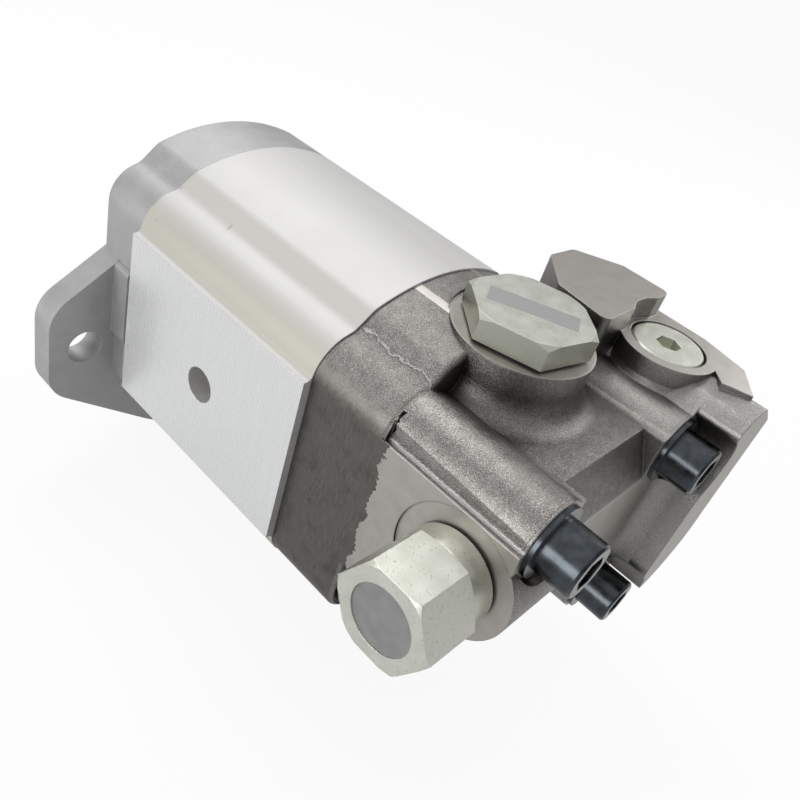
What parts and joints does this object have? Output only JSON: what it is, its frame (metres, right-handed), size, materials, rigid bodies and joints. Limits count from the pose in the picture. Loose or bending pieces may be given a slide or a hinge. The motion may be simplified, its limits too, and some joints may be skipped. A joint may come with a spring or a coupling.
{
  "type": "hydraulic gear pump",
  "caption": "External gear pump with a two-bolt flange, keyed shaft and a cast rear cover that holds a priority spool and a relief valve.",
  "frame": {"origin": "centre of the drive shaft at the mounting face of the flange", "axes": "+Y along the drive shaft out of the pump, +Z from the drive gear to the driven gear, +X to the inlet side"},
  "size_m": [0.1562, 0.2606, 0.1484],
  "materials": {
    "die_cast_aluminium": "matte as-cast",
    "extruded_aluminium": "satin, faint lines along the shaft",
    "cast_iron": "bare sand-cast with milled faces",
    "ground_steel": "ground",
    "bearing_alloy": "turned",
    "bush_bronze": "dull",
    "seal_rubber": "matte",
    "backup_plastic": "matte",
    "black_steel": "black oxide",
    "zinc_steel": "pale yellow-green zinc",
    "spring_steel": "plain",
    "cap_plastic": "translucent grey-white"
  },
  "bodies": {
    "pump_body": {"front_cover": "die_cast_aluminium", "gear_housing": "extruded_aluminium", "rear_cover": "cast_iron", "front_bearing_block": "bearing_alloy", "rear_bearing_block": "bearing_alloy", "front_bushes": "bush_bronze", "rear_bushes": "bush_bronze", "front_pressure_seal": "seal_rubber", "rear_pressure_seal": "seal_rubber", "front_backup_rings": "backup_plastic", "rear_backup_rings": "backup_plastic", "front_body_seal": "seal_rubber", "rear_body_seal": "seal_rubber", "shaft_seal_case": "ground_steel", "shaft_seal_lip": "seal_rubber", "seal_retaining_ring": "black_steel", "dowel_pins": "ground_steel", "long_bolts": "black_steel", "short_bolt": "black_steel", "bolt_washers": "black_steel", "spool_plug": "zinc_steel", "spool_plug_seal": "seal_rubber", "priority_spring": "spring_steel", "relief_plug": "zinc_steel", "relief_plug_seal": "seal_rubber", "relief_seat": "ground_steel", "relief_spring": "spring_steel", "port_adapter": "zinc_steel", "port_adapter_seal": "seal_rubber", "port_cap": "cap_plastic"},
    "drive_rotor": {"drive_gear_shaft": "ground_steel", "shaft_key": "ground_steel"},
    "driven_rotor": {"driven_gear_shaft": "ground_steel"},
    "priority_spool_body": {"priority_spool": "ground_steel"},
    "relief_poppet_body": {"relief_poppet": "ground_steel"}
  },
  "joints": [
    {"name": "drive_spin", "type": "hinge", "parent": "pump_body", "child": "drive_rotor", "pos_m": [0, 0, 0], "axis": [0, 1, 0], "continuous": true},
    {"name": "driven_spin", "type": "hinge", "parent": "pump_body", "child": "driven_rotor", "pos_m": [0, 0, 0.04407], "axis": [0, 1, 0], "continuous": true},
    {"name": "priority_spool_slide", "type": "slide", "parent": "pump_body", "child": "priority_spool_body", "axis": [0, 0, 1], "range_m": [0, 0.006], "stiffness_N_per_m": 4000, "springref_m": -0.004, "deforming": ["priority_spring"]},
    {"name": "relief_poppet_slide", "type": "slide", "parent": "pump_body", "child": "relief_poppet_body", "axis": [0, 0, 1], "range_m": [0, 0.0025], "stiffness_N_per_m": 8000, "springref_m": -0.003, "deforming": ["relief_spring"]}
  ],
  "couplings": [
    {"joint": "driven_spin", "follows": "drive_spin", "ratio": -1}
  ]
}
